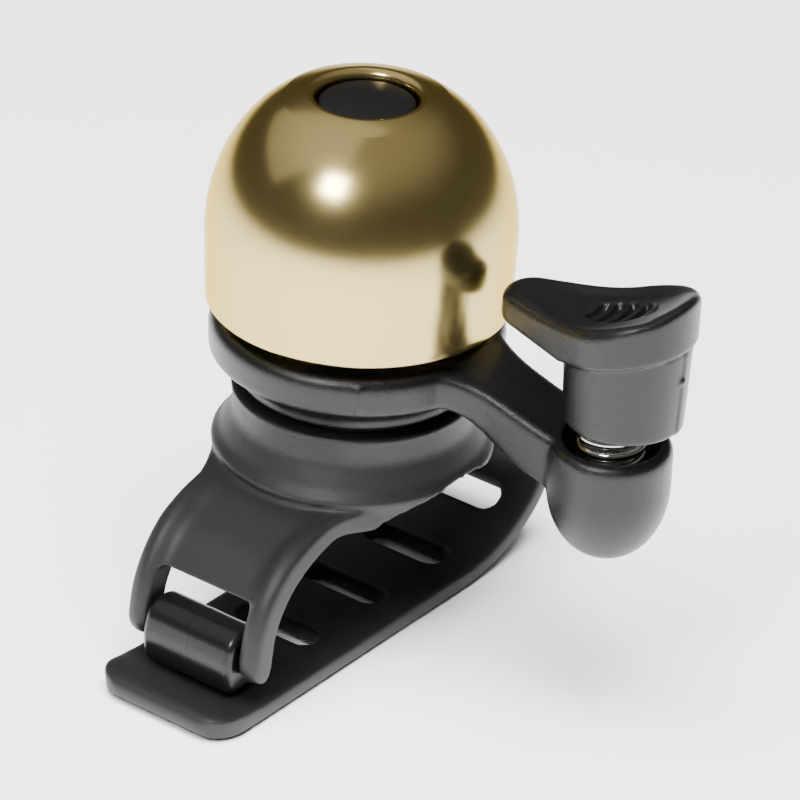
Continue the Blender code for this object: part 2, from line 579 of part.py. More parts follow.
def head_height(x):
    """Top of the head over the hinge: low at the nose, rising ever more steeply to the outer end."""
    start = BELL_RADIUS + NOSE_GAP - STRIKER_REACH
    end = BODY_OFFSET + HEAD_HALF_WIDTH
    share = min(max((x - start) / (end - start), 0.0), 1.0)
    return BODY_LOW - HINGE_Z + HEAD_NOSE_TOP + HEAD_RISE * share ** 3


def head_underside(x):
    """Lower edge of the head: falling gently to the body's inner side, then rising outwards."""
    start = BELL_RADIUS + NOSE_GAP - STRIKER_REACH
    step = BODY_OFFSET - 5.2 * MM
    end = BODY_OFFSET + HEAD_HALF_WIDTH
    base = BODY_LOW - HINGE_Z
    if x < step:
        return base + HEAD_NOSE_LOW + (HEAD_STEP_LOW - HEAD_NOSE_LOW) * (x - start) / (step - start)
    return base + HEAD_STEP_LOW + HEAD_STEP_RISE * (x - step) / (end - step)


def make_striker(plastic, striker_axis):
    """Thumb head on a hollow round body that is open towards the dome."""
    rings = [[(x, y, head_underside(x)) for x, y in head_outline(0.5 * MM)],
             [(x, y, head_underside(x) + 0.5 * MM) for x, y in head_outline(0.0)],
             [(x, y, head_height(x) - 1.1 * MM) for x, y in head_outline(0.0)],
             [(x, y, head_height(x) - 0.3 * MM) for x, y in head_outline(0.4 * MM)],
             [(x, y, head_height(x)) for x, y in head_outline(1.2 * MM)]]
    striker = add_object("striker", head_mesh(rings), plastic, striker_axis)
    low = BODY_LOW - HINGE_Z
    high = BODY_HIGH - HINGE_Z
    slim = STRIKER_RADIUS - STRIKER_TAPER
    body = [(0.0, low), (slim - 0.5 * MM, low), (slim, low + 0.5 * MM), (STRIKER_RADIUS, high), (0.0, high)]
    combine(striker, turned(body, MEDIUM, (BODY_OFFSET, 0.0)), "UNION", "striker_body", striker_axis)
    throat = SPRING_RADIUS + WIRE_RADIUS + 0.7 * MM
    roof = SPRING_TOP - HINGE_Z + GAP
    hollow = [(0.0, low - MM), (throat + 0.5 * MM, low - MM), (throat, low + 2 * MM), (throat, roof),
              (SPIGOT_RADIUS, roof), (SPIGOT_RADIUS, roof - SPIGOT), (0.0, roof - SPIGOT)]
    combine(striker, turned(hollow, 26, start=0.05), "DIFFERENCE", "striker_hollow", striker_axis)
    mouth_half = 3.6 * MM
    mouth = [(-STRIKER_RADIUS - 3 * MM, -mouth_half), (-SPIGOT_RADIUS - GAP, -mouth_half),
             (-SPIGOT_RADIUS - GAP, mouth_half), (-STRIKER_RADIUS - 3 * MM, mouth_half)]
    combine(striker, prism(mouth, low - MM, roof - 2.0 * MM), "DIFFERENCE", "striker_mouth", striker_axis)
    for n in range(3):
        middle = (n - 1) * 2.3 * MM - 0.4 * MM
        rib = [(middle - 0.55 * MM, -2.6 * MM), (middle + 0.55 * MM, -2.6 * MM), (middle + 0.55 * MM, 2.6 * MM),
               (middle - 0.55 * MM, 2.6 * MM)]
        depth = head_height(middle) - 1.0 * MM
        combine(striker, prism(rib, depth, depth + 4 * MM), "DIFFERENCE", f"thumb_slot_{n + 1}", striker_axis)


def head_mesh(rings):
    """Loft of the head's rings; the top is closed by strips across it, so it follows the height."""
    bm = loft(rings)
    lid = max(bm.faces, key=lambda face: (len(face.verts), face.calc_center_median().z))
    bmesh.ops.delete(bm, geom=[lid], context="FACES_ONLY")
    border = [edge for edge in bm.edges if edge.is_boundary]
    verts = sorted({vert for edge in border for vert in edge.verts}, key=lambda vert: (vert.co.x, vert.co.y))
    upper = sorted([v for v in verts if v.co.y > 1e-6], key=lambda vert: vert.co.x)
    lower = sorted([v for v in verts if v.co.y < -1e-6], key=lambda vert: vert.co.x)
    ends = [v for v in verts if abs(v.co.y) <= 1e-6]
    first, last = min(ends, key=lambda v: v.co.x), max(ends, key=lambda v: v.co.x)
    bm.faces.new((first, lower[0], upper[0]))
    for i in range(len(upper) - 1):
        bm.faces.new((lower[i], lower[i + 1], upper[i + 1], upper[i]))
    bm.faces.new((last, upper[-1], lower[-1]))
    return bm


# ================================================================ assembly
def build():
    """Make every piece of the bell."""
    clear_scene()
    brass = material("polished_brass", (0.80, 0.58, 0.24), 0.12, 1.0)
    steel = material("bright_steel", (0.62, 0.61, 0.58), 0.25, 1.0)
    zinc = material("zinc_plated_steel", (0.55, 0.56, 0.58), 0.35, 1.0)
    rubber = material("black_rubber", (0.045, 0.045, 0.047), 0.65)
    grain = material("grained_black_plastic", (0.022, 0.022, 0.023), 0.38)
    gloss = material("gloss_black_plastic", (0.012, 0.012, 0.014), 0.2)
    nylon = material("natural_nylon", (0.55, 0.53, 0.47), 0.5)

    hook_axis = axis_empty("hook_axis", (0.0, PIN_Y, PIN_Z))
    swivel_axis = axis_empty("swivel_axis", (0.0, 0.0, 0.0), ARM_ANGLE)
    striker_axis = axis_empty("striker_axis", (STRIKER_REACH, 0.0, HINGE_Z), parent=swivel_axis)

    make_strap(rubber)
    make_hook(gloss, steel, hook_axis)
    make_swivel(nylon, steel, zinc)
    make_bell(brass)
    make_bell_mounting(steel, zinc, rubber, gloss)
    make_bracket(grain, swivel_axis)
    make_spring(steel, swivel_axis)
    make_striker(grain, striker_axis)
    bpy.context.view_layer.update()


build()
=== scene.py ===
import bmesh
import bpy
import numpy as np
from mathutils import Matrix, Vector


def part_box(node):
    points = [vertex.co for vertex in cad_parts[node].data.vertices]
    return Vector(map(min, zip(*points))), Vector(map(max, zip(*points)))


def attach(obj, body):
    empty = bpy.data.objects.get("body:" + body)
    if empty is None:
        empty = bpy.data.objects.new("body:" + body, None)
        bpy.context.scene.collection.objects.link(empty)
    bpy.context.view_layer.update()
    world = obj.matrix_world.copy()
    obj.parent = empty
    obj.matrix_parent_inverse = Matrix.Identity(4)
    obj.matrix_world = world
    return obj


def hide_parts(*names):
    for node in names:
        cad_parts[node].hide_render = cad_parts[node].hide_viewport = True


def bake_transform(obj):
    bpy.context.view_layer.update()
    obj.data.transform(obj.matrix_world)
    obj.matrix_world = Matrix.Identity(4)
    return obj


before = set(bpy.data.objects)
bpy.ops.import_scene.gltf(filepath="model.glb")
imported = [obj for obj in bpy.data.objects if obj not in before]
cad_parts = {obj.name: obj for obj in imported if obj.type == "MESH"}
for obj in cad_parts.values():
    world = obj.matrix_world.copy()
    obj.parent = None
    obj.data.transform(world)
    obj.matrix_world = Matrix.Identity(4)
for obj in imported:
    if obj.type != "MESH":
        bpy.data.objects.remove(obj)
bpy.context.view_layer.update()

# %% [markdown]
# # A bicycle bell in brass, moulded plastic and rubber
# The frame holds the bell as exact solids on four bodies. This lesson gives it its finish: the parts whose
# shape shows are built again as fine surfaces in the same space, and the small hardware keeps its solid.
# Lengths are written in millimetres along the frame's own axes: the dome stands on Z, the strap runs along Y,
# and the handlebar would pass along X under the saddle.

MM = 0.001
ARM_TURN = np.radians(3.2)       # the arm's direction at rest, from +X

# %% [markdown]
# ## Surfaces from arrays
# Every new piece is a grid of points: a ring of points repeated along a second direction. A closed pair of
# directions gives a torus, an open one is shut with a fan at each end. The grid is worked out with whole
# arrays, so the formula can be read off in one line. Pushing vertices about by hand can't be read again.

# %% Grid, turned body and swept outline
def put(name, points, loop=False, fans=True):
    """One closed mesh from rings of points (rings, around, 3) in mm.

    Fans close the two ends, unless the rings loop or each end ring has already shrunk onto a line.
    """
    rings, around = points.shape[:2]
    index = np.arange(rings * around).reshape(rings, around)
    beside = np.roll(index, -1, axis=1)
    verts, tris = points.reshape(-1, 3), np.zeros((0, 3), int)
    if loop:
        after = np.roll(index, -1, axis=0)
        quads = np.stack([index, beside, np.roll(beside, -1, axis=0), after], -1).reshape(-1, 4)
    else:
        quads = np.stack([index[:-1], beside[:-1], beside[1:], index[1:]], -1).reshape(-1, 4)
    if fans and not loop:
        verts = np.concatenate([verts, points[:1].mean(1), points[-1:].mean(1)])
        first, last = np.full(around, rings * around), np.full(around, rings * around + 1)
        tris = np.concatenate([np.stack([first, beside[0], index[0]], -1),
                               np.stack([last, index[-1], beside[-1]], -1)])
    mesh = bpy.data.meshes.new(name)
    sizes = np.concatenate([np.full(len(quads), 4), np.full(len(tris), 3)]).astype(np.int32)
    corners = np.concatenate([quads.ravel(), tris.ravel()]).astype(np.int32)
    mesh.vertices.add(len(verts))
    mesh.vertices.foreach_set("co", (verts * MM).astype(np.float32).ravel())
    mesh.loops.add(len(corners))
    mesh.loops.foreach_set("vertex_index", corners)
    mesh.polygons.add(len(sizes))
    mesh.polygons.foreach_set("loop_start", (np.cumsum(sizes) - sizes).astype(np.int32))
    mesh.update(calc_edges=True)
    piece = bpy.data.objects.new(name, mesh)
    bpy.context.scene.collection.objects.link(piece)
    tidy_mesh(mesh)
    return piece


WELD = 2e-7                      # metres within which points are one


def tidy_mesh(mesh):
    """Welds points that fall together, turns the faces outwards and shades them smoothly."""
    work = bmesh.new()
    work.from_mesh(mesh)
    bmesh.ops.remove_doubles(work, verts=work.verts, dist=WELD)
    bmesh.ops.dissolve_degenerate(work, edges=work.edges, dist=WELD)
    bmesh.ops.recalc_face_normals(work, faces=work.faces)
    work.to_mesh(mesh)
    work.free()
    mesh.polygons.foreach_set("use_smooth", np.ones(len(mesh.polygons), bool))
    mesh.update()


def circle(count, start=0.0):
    """Cosines and sines of evenly spaced angles once round."""
    angle = start + 2 * np.pi * np.arange(count) / count
    return np.cos(angle), np.sin(angle)


def turned(name, profile, count=192, centre=(0.0, 0.0), loop=False, start=0.0):
    """Profile (radius, height) swept round a vertical axis: x = r cos a, y = r sin a, z = height."""
    c, s = circle(count, start)
    r, z = profile[:, :1], profile[:, 1:2]
    points = np.stack([centre[0] + r * c, centre[1] + r * s, z + 0 * c], -1)
    return put(name, points, loop)


def prism(name, plan, low, high):
    """Outline (x, y) carried straight up from one height to another."""
    z = np.array([low, high])[:, None]
    x, y = plan[None, :, 0] + 0 * z, plan[None, :, 1] + 0 * z
    return put(name, np.stack([x, y, z + 0 * x], -1))


def rod(name, section, half):
    """Outline (y, z) carried along X, half a length to each side."""
    x = np.array([-half, half])[:, None]
    y, z = section[None, :, 0] + 0 * x, section[None, :, 1] + 0 * x
    return put(name, np.stack([x + 0 * y, y, z], -1))


def round_section(at, radius, count):
    """Circle (y, z) about a point."""
    c, s = circle(count)
    return np.stack([at[0] + radius * c, at[1] + radius * s], -1)


def rounded(corners, steps=7):
    """Corners (x, y, radius) joined by straight lines, each rounded by an arc that touches both lines."""
    corner = np.array(corners, float)
    here = corner[:, :2]
    back, on = np.roll(here, 1, axis=0) - here, np.roll(here, -1, axis=0) - here
    back_length = np.linalg.norm(back, axis=1, keepdims=True)
    on_length = np.linalg.norm(on, axis=1, keepdims=True)
    back, on = back / back_length, on / on_length
    half = np.arccos(np.clip((back * on).sum(1), -0.999999, 0.999999))[:, None] / 2
    reach = corner[:, 2:] / np.tan(half)
    reach = np.minimum(reach, 0.49 * np.minimum(back_length, on_length))
    radius = reach * np.tan(half)
    middle = (back + on) / np.linalg.norm(back + on, axis=1, keepdims=True)
    centre = here + middle * radius / np.sin(half)
    first, last = here + back * reach - centre, here + on * reach - centre
    share = np.linspace(0, 1, steps)[None, :, None]
    sweep = np.pi - 2 * half[:, None]
    weight_a = np.sin((1 - share) * sweep) / np.maximum(np.sin(sweep), 1e-9)
    weight_b = np.sin(share * sweep) / np.maximum(np.sin(sweep), 1e-9)
    arcs = centre[:, None] + first[:, None] * weight_a + last[:, None] * weight_b
    return arcs.reshape(-1, 2)


def spline(knots, count):
    """Smooth curve through the knots (Catmull-Rom), evenly spaced by its own length."""
    p = np.array(knots, float)
    p = np.concatenate([2 * p[:1] - p[1:2], p, 2 * p[-1:] - p[-2:-1]])
    t = np.linspace(0, len(p) - 3, 40 * len(p), endpoint=False)
    i = t.astype(int)
    f = (t - i)[:, None]
    a, b, c, d = p[i], p[i + 1], p[i + 2], p[i + 3]
    bend, twist = 2 * a - 5 * b + 4 * c - d, 3 * b - a - 3 * c + d
    curve = 0.5 * (2 * b + (c - a) * f + bend * f ** 2 + twist * f ** 3)
    curve = np.concatenate([curve, p[-2:-1]])
    length = np.concatenate([[0], np.cumsum(np.linalg.norm(np.diff(curve, axis=0), axis=1))])
    even = np.linspace(0, length[-1], count)
    return np.stack([np.interp(even, length, curve[:, k]) for k in range(curve.shape[1])], -1)


def along_arm(piece):
    """Turns a piece built along +X to the arm's rest direction, keeping the object itself unrotated."""
    co = np.empty(len(piece.data.vertices) * 3, np.float32)
    piece.data.vertices.foreach_get("co", co)
    x, y, z = co.reshape(-1, 3).T.astype(float)
    c, s = np.cos(ARM_TURN), np.sin(ARM_TURN)
    turned_co = np.stack([x * c - y * s, x * s + y * c, z], -1)
    piece.data.vertices.foreach_set("co", turned_co.astype(np.float32).ravel())
    piece.data.update()
    return piece


def smooth(x, low, high):
    """0 below low, 1 above high and an even S between."""
    t = np.clip((x - low) / (high - low), 0, 1)
    return t * t * (3 - 2 * t)


print("surface helpers ready")

# %% [markdown]
# ## Cutting, joining and softening
# A moulded part is a few simple volumes that run into each other, with holes. Exact Booleans put them
# together; an even re-mesh and a light smoothing then round every corner a little, as a mould does.
# Bevels would do on straight edges but fail where a turned body meets a swept one.

# %% Booleans and the moulded finish
def baked(piece):
    """Replaces the mesh by what its modifiers make and drops them."""
    graph = bpy.context.evaluated_depsgraph_get()
    mesh = bpy.data.meshes.new_from_object(piece.evaluated_get(graph))
    piece.modifiers.clear()
    old, piece.data = piece.data, mesh
    mesh.name = piece.name
    bpy.data.meshes.remove(old)
    return piece


def combined(piece, tools, operation):
    """The piece with each tool joined on or cut away; the tools go."""
    for tool in tools:
        step = piece.modifiers.new(tool.name, "BOOLEAN")
        step.operation, step.solver, step.object = operation, "EXACT", tool
    baked(piece)
    for tool in tools:
        bpy.data.objects.remove(tool, do_unlink=True)
    return piece


def moulded(piece, voxel, passes):
    """Even re-mesh at a voxel in mm, then smoothing passes that round the corners."""
    even = piece.modifiers.new("even", "REMESH")
    even.mode, even.voxel_size, even.use_smooth_shade = "VOXEL", voxel * MM, True
    soft = piece.modifiers.new("soft", "SMOOTH")
    soft.factor, soft.iterations = 0.5, passes
    baked(piece)
    tidy_mesh(piece.data)
    return piece


def report(piece):
    """Prints a finished piece's size and count of triangles."""
    piece.data.calc_loop_triangles()
    size = " x ".join(f"{v / MM:.1f}" for v in piece.dimensions)
    print(f"{piece.name}: {size} mm, {len(piece.data.loop_triangles)} triangles")


# %% [markdown]
# ## Finishes
# Six real finishes: polished brass, spark-eroded black nylon, smooth nylon, moulded rubber, bright drawn
# steel and zinc-plated steel. Each pattern is procedural on Object coordinates, at the size in millimetres
# that the process leaves, so it stays put whatever the piece's mesh is.

# %% Materials
NYLON_IOR = 1.47


def linear(code):
    """sRGB hex to linear RGBA."""
    c = np.array([int(code[i:i + 2], 16) for i in (1, 3, 5)]) / 255
    c = np.where(c <= 0.04045, c / 12.92, ((c + 0.055) / 1.055) ** 2.4)
    return (*c, 1.0)


def add(tree, kind, inputs=(), **settings):
    """A shader node with its settings and its inputs, each a value or another node's socket."""
    node = tree.nodes.new(kind)
    for key, value in settings.items():
        setattr(node, key, value)
    for key, value in dict(inputs).items():
        if isinstance(value, bpy.types.NodeSocket):
            tree.links.new(value, node.inputs[key])
        else:
            node.inputs[key].default_value = value
    return node


def finish(name, colour, **sockets):
    """A material with one Principled shader; sockets are its plain values."""
    made = bpy.data.materials.new(name)
    made.use_nodes = True
    tree = made.node_tree
    shader = tree.nodes["Principled BSDF"]
    shader.inputs["Base Color"].default_value = linear(colour)
    for key, value in sockets.items():
        shader.inputs[key.replace("_", " ")].default_value = value
    return made, tree, shader


def pattern(tree, kind, size, **inputs):
    """A procedural texture whose cells are about size mm across, on Object coordinates."""
    where = add(tree, "ShaderNodeTexCoord").outputs["Object"]
    return add(tree, kind, {"Vector": where, "Scale": 1 / (size * MM), **inputs})


def relief(tree, shader, height, depth, under=None):
    """Adds a bump of a depth in mm to the shader's normal, on top of another bump if one is given."""
    extra = {} if under is None else {"Normal": under.outputs["Normal"]}
    bump = add(tree, "ShaderNodeBump", {"Height": height, "Distance": depth * MM, **extra})
    tree.links.new(bump.outputs["Normal"], shader.inputs["Normal"])
    return bump


def polished_brass():
    """Metal with a faint smear in its roughness and the long waves that polishing leaves."""
    made, tree, shader = finish("polished_brass", "#d0bb7d", Metallic=1.0, Roughness=0.18)
    shader.inputs["Specular Tint"].default_value = linear("#f0dfae")
    smear = pattern(tree, "ShaderNodeTexNoise", 9.0, Detail=3.0)
    rough = add(tree, "ShaderNodeMapRange", {"Value": smear.outputs["Fac"], "To Min": 0.17, "To Max": 0.22})
    tree.links.new(rough.outputs["Result"], shader.inputs["Roughness"])
    lap = pattern(tree, "ShaderNodeTexNoise", 3.0, Detail=2.0)
    relief(tree, shader, lap.outputs["Fac"], 0.006)
    return made


def grained_plastic():
    """Black nylon with a fine grain and sparse raised specks from a spark-eroded mould."""
    made, tree, shader = finish("spark_eroded_nylon", "#080809", Roughness=0.3)
    shader.inputs["IOR"].default_value = NYLON_IOR
    grain = pattern(tree, "ShaderNodeTexNoise", 0.14, Detail=2.0)
    pits = pattern(tree, "ShaderNodeTexVoronoi", 0.42)
    speck = add(tree, "ShaderNodeMapRange", {"Value": pits.outputs["Distance"], "From Min": 0.0,
                                             "From Max": 0.22, "To Min": 1.0, "To Max": 0.0})
    fine = relief(tree, shader, grain.outputs["Fac"], 0.045)
    relief(tree, shader, speck.outputs["Result"], 0.035, under=fine)
    return made


def smooth_plastic(name, colour, rough):
    """Nylon from a polished mould."""
    made, tree, shader = finish(name, colour, Roughness=rough)
    shader.inputs["IOR"].default_value = NYLON_IOR
    skin = pattern(tree, "ShaderNodeTexNoise", 0.5, Detail=3.0)
    relief(tree, shader, skin.outputs["Fac"], 0.010)
    return made


def moulded_rubber():
    """Rubber with a cloudy bloom, a fine skin and slow waves."""
    made, tree, shader = finish("moulded_rubber", "#161617", Roughness=0.52)
    bloom = pattern(tree, "ShaderNodeTexNoise", 4.0, Detail=5.0, Roughness=0.6)
    tone = add(tree, "ShaderNodeMix", data_type="RGBA")
    tone.inputs["A"].default_value, tone.inputs["B"].default_value = linear("#0e0e0f"), linear("#161617")
    tree.links.new(bloom.outputs["Fac"], tone.inputs["Factor"])
    tree.links.new(tone.outputs["Result"], shader.inputs["Base Color"])
    skin = pattern(tree, "ShaderNodeTexNoise", 0.22, Detail=3.0)
    fine = relief(tree, shader, skin.outputs["Fac"], 0.03)
    wave = pattern(tree, "ShaderNodeTexNoise", 5.0, Detail=1.0)
    relief(tree, shader, wave.outputs["Fac"], 0.12, under=fine)
    return made


def steel(name, colour, rough, drawn):
    """Steel with marks of a size in mm."""
    made, tree, shader = finish(name, colour, Metallic=1.0, Roughness=rough)
    marks = pattern(tree, "ShaderNodeTexNoise", drawn, Detail=2.0)
    relief(tree, shader, marks.outputs["Fac"], 0.008)
    return made


BRASS = polished_brass()
GRAINED = grained_plastic()
HOOK_BLACK = smooth_plastic("smooth_nylon", "#08090a", 0.3)
CAP_BLACK = smooth_plastic("satin_cap", "#070708", 0.4)
NYLON = smooth_plastic("natural_nylon", "#cfcabd", 0.4)
RUBBER = moulded_rubber()
BRIGHT = steel("bright_spring_steel", "#c6c5c1", 0.16, 0.4)
ZINC = steel("zinc_plated_steel", "#a9aaa6", 0.32, 0.25)
FINISHES = (BRASS, GRAINED, HOOK_BLACK, CAP_BLACK, NYLON, RUBBER, BRIGHT, ZINC)
print("materials:", ", ".join(made.name for made in FINISHES))


def finished(piece, material, body, nodes, crease=None):
    """Gives a new piece its material and its body, and hides the frame nodes it stands for."""
    piece.data.materials.clear()
    piece.data.materials.append(material)
    if crease is not None:
        piece.data.set_sharp_from_angle(angle=np.radians(crease))
    if body is not None:
        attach(piece, body)
    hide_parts(*nodes)
    report(piece)
    return piece


# %% [markdown]
# ## The dome
# A real dome is pressed from brass sheet and turned over at the crown, where the edge rolls into a shallow
# well that holds the fixing screw's cap. One closed profile does it all: outside, roll, well, hole, and back
# inside. The wall above the skirt follows a squared ellipse, which keeps the shoulder full.

# %% Bell dome
RIM, CROWN, BELL_RADIUS, SKIRT = 17.3, 24.6, 17.0, 8.4
CROWN_HOLE, ROLL, WEB_HOLE, WELL, WALL = 5.6, 0.95, 3.5, 3.8, 1.2
FLARE, FULLNESS, VIRTUAL_TOP = 0.25, 2.35, CROWN + 1.5


def dome_radius(h):
    """Outside radius at a height over the rim.

    The skirt widens evenly by the flare. Above it R (1 - s^2)^(1/fullness), s the share of the way to a
    virtual top that the crown's hole cuts off.
    """
    share = np.maximum(h - SKIRT, 0) / (VIRTUAL_TOP - SKIRT)
    return (BELL_RADIUS + FLARE * np.minimum(h / SKIRT, 1)) * (1 - share ** 2) ** (1 / FULLNESS)


def dome_profile():
    """Closed profile of the wall: rounded rim, skirt, shoulder, roll, well wall, web, hole, inside."""
    h = np.concatenate([np.linspace(0.35, SKIRT, 14)[:-1],
                        SKIRT + (CROWN - 0.62 - SKIRT) * np.sin(np.linspace(0, np.pi / 2, 60))])
    outside = np.stack([dome_radius(h), h], -1)
    roll_at = np.array([CROWN_HOLE + ROLL, CROWN + 0.12 - ROLL])
    turn = np.radians(np.linspace(75, 180, 26))
    roll = roll_at + ROLL * np.stack([np.cos(turn), np.sin(turn)], -1)
    floor = CROWN - WELL
    web = np.array([[CROWN_HOLE, floor + 0.5], [CROWN_HOLE - 0.15, floor + 0.15], [CROWN_HOLE - 0.5, floor],
                    [WEB_HOLE + 0.1, floor], [WEB_HOLE, floor - 0.1], [WEB_HOLE, floor - WALL + 0.1],
                    [WEB_HOLE + 0.1, floor - WALL], [CROWN_HOLE + 0.9, floor - WALL]])
    back = outside[::-1]
    lower = WALL * (np.maximum(back[:, 1] - SKIRT, 0) / (CROWN - SKIRT)) ** 2
    inside = np.stack([back[:, 0] - WALL, back[:, 1] - lower], -1)
    inside = inside[(inside[:, 0] > CROWN_HOLE + 1.4) & (inside[:, 1] < floor - WALL + 0.2)]
    rim = np.array([[BELL_RADIUS - WALL + 0.2, 0.05], [BELL_RADIUS - WALL + 0.4, 0.0],
                    [BELL_RADIUS - 0.35, 0.0], [BELL_RADIUS - 0.1, 0.1]])
    return np.concatenate([outside, roll, web, inside, rim]) + [0, RIM]


dome = turned("bell", dome_profile(), 256, loop=True)
finished(dome, BRASS, "mounting", ["bell_dome"], crease=50)

# %% [markdown]
# ## The cap
# A small black lens pressed into the crown's well, with a turned-down edge that the roll hides.

# %% Crown cap
CAP_RADIUS, CAP_RISE = 5.35, 0.75
CAP_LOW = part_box("top_cap")[0].z / MM
CAP_TOP = RIM + CROWN - 0.95     # where its side ends and the lens begins
bulge = np.linspace(0, 1, 24)[:-1]
lens = np.stack([(CAP_RADIUS - 0.35) * (1 - bulge),
                 CAP_TOP + 0.2 + (CAP_RISE - 0.2) * (1 - (1 - bulge) ** 2)], -1)
shoulder = rounded([(0.3, CAP_LOW, 0), (CAP_RADIUS, CAP_LOW, 0.3), (CAP_RADIUS, CAP_TOP, 0.4),
                    (CAP_RADIUS - 0.5, CAP_TOP + 0.25, 0.1), (0.3, CAP_TOP + 0.3, 0)])
edge = shoulder[(shoulder[:, 1] < CAP_TOP + 0.2) & (shoulder[:, 0] > 0.5)]
cap = turned("crown_cap", np.concatenate([[[0.3, CAP_LOW]], edge, lens]), 128)
finished(cap, CAP_BLACK, "mounting", ["top_cap"])

# %% [markdown]
# ## Base plate, arm and spring cup
# One nylon moulding. The plate and its neck are turned, the arm is a rounded bar that leaves the plate with a
# wide root and drops to the cup's mouth, and the cup is a bullet with a well for the coil. The bar's half
# width flares by a power law at the root, which gives the large plan radius where it meets the plate.

# %% Bracket
NECK_LOW, PLATE_LOW, PLATE_TOP, PLATE_RADIUS = 7.4, 10.7, 15.5, 16.6
REACH, MOUTH, CUP_RADIUS, CUP_DEPTH = 33.5, 11.1, 6.8, 14.1
OFF_LINE = 0.01                  # radians a cutter is turned by, so that no two facets lie in one plane


def plate_body():
    """Turned section: bore, neck, sloping underside, edge, top and nut recess."""
    corners = [(2.8, NECK_LOW, 0), (13.1, NECK_LOW, 0.4), (13.3, 8.9, 1.5), (15.3, 10.55, 0.8),
               (PLATE_RADIUS - 0.15, PLATE_LOW + 0.3, 0.7), (PLATE_RADIUS, PLATE_TOP, 1.6),
               (8.0, PLATE_TOP, 0.3), (8.0, 13.3, 0.3), (2.8, 13.3, 0.2)]
    return turned("bracket_moulding", rounded(corners), 192, loop=True)


def arm_bar():
    """Rounded bar along x: half width 4.6 plus the root's (distance / 9)^2.6, its top falling in an S."""
    x = np.linspace(9.5, REACH + 1.0, 70)[:, None]
    ease = smooth(x, 12.0, REACH - 1.0)
    top = PLATE_TOP - 0.05 - (PLATE_TOP - MOUTH) * ease
    root = np.maximum(22.0 - x, 0) / 9
    half = 4.6 + 4.0 * root ** 2.6 + 1.2 * smooth(x, REACH - 5, REACH + 2)
    low = top - 4.6 - 2.4 * smooth(x, 15.5, 25.0)
    angle = np.linspace(0, 2 * np.pi, 96, endpoint=False)[None]
    c, s = np.cos(angle), np.sin(angle)
    squarer = (np.abs(c) ** 6 + np.abs(s) ** 6) ** (-1 / 6)
    y = half * c * squarer
    z = (top + low) / 2 + (top - low) / 2 * s * squarer
    return put("arm_bar", np.stack([x + 0 * y, y, z], -1))


def cup_body():
    """Bullet: r = R sin(t)^0.9 below, straight above, with a rounded mouth."""
    t = np.radians(np.linspace(3, 90, 34))
    low = MOUTH - CUP_DEPTH
    bullet = np.stack([CUP_RADIUS * np.sin(t) ** 0.9, low + CUP_DEPTH * 0.62 * (1 - np.cos(t))], -1)
    mouth = rounded([(CUP_RADIUS, MOUTH - 4, 0), (CUP_RADIUS, MOUTH, 1.15), (0.4, MOUTH, 0),
                     (0.4, MOUTH - 4, 0)])
    mouth = mouth[(mouth[:, 1] > MOUTH - 3)]
    return turned("cup_body", np.concatenate([bullet, mouth]), 128, (REACH, 0.0))


def spring_well():
    """Cutter for the coil's well, leaving the peg that the coil sits on."""
    profile = rounded([(0.3, 7.6, 0), (2.4, 7.6, 0.5), (2.4, 2.6, 0.2), (4.3, 2.6, 0.2), (4.3, 8.5, 1.0),
                       (5.2, 10.2, 0.8), (5.6, 13.0, 0), (0.3, 13.0, 0)])
    return turned("spring_well", profile, 96, (REACH, 0.0), start=OFF_LINE)


bracket = combined(plate_body(), [arm_bar(), cup_body()], "UNION")
combined(bracket, [spring_well()], "DIFFERENCE")
moulded(bracket, 0.26, 16)
along_arm(bracket)
finished(bracket, GRAINED, "bracket", ["bracket"])

# %% [markdown]
# ## The coil
# A coil spring is both the hinge and the return of the striker. Its wire is a tube swept along a helix. The
# pitch is small beside the coil's width, so the wire's round section can stand upright. It crosses the joint
# in the short gap between the cup's mouth and the striker's lower edge, so it is put on neither body.

# %% Striker spring
SPRING_LOW, SPRING_TOP, COIL, WIRE, PITCH = 2.9, 23.6, 3.4, 0.6, 1.5
BODY_LOW = 14.0


def coil():
    """Helix: a ring in the plane of the outward and the upward direction, slid along the turns."""
    turns = (SPRING_TOP - SPRING_LOW - 2 * WIRE) / PITCH
    t = np.linspace(0, turns, int(turns * 56))[:, None]
    c, s = circle(14)
    wide = COIL + WIRE * c[None]
    angle = 2 * np.pi * t
    return put("coil_spring", np.stack([REACH + wide * np.cos(angle), wide * np.sin(angle),
                                        SPRING_LOW + WIRE + PITCH * t + WIRE * s[None]], -1))


spring = along_arm(coil())
finished(spring, BRIGHT, None, ["striker_spring"])
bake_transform(spring)

# %% [markdown]
# ## The striker
# The thumb pushes a dished head that overhangs a round body; the nose of the head hits the dome. The head's
# plan is two circles with their tangents, shrunk ring by ring onto the line between the centres, so one grid
# covers the underside, the wall and the dished top. A shallow oval in the dish carries curved ribs for grip.

# %% Striker
NOSE, NOSE_RADIUS, OUTER, OUTER_RADIUS = 22.8, 3.6, 34.7, 7.4
BODY_RADIUS, BODY_TAPER = 6.95, 0.4
HEAD_START, HEAD_LENGTH = 19.2, 22.9
HEAD_EDGE, HEAD_LOW_EDGE = 1.5, 0.5


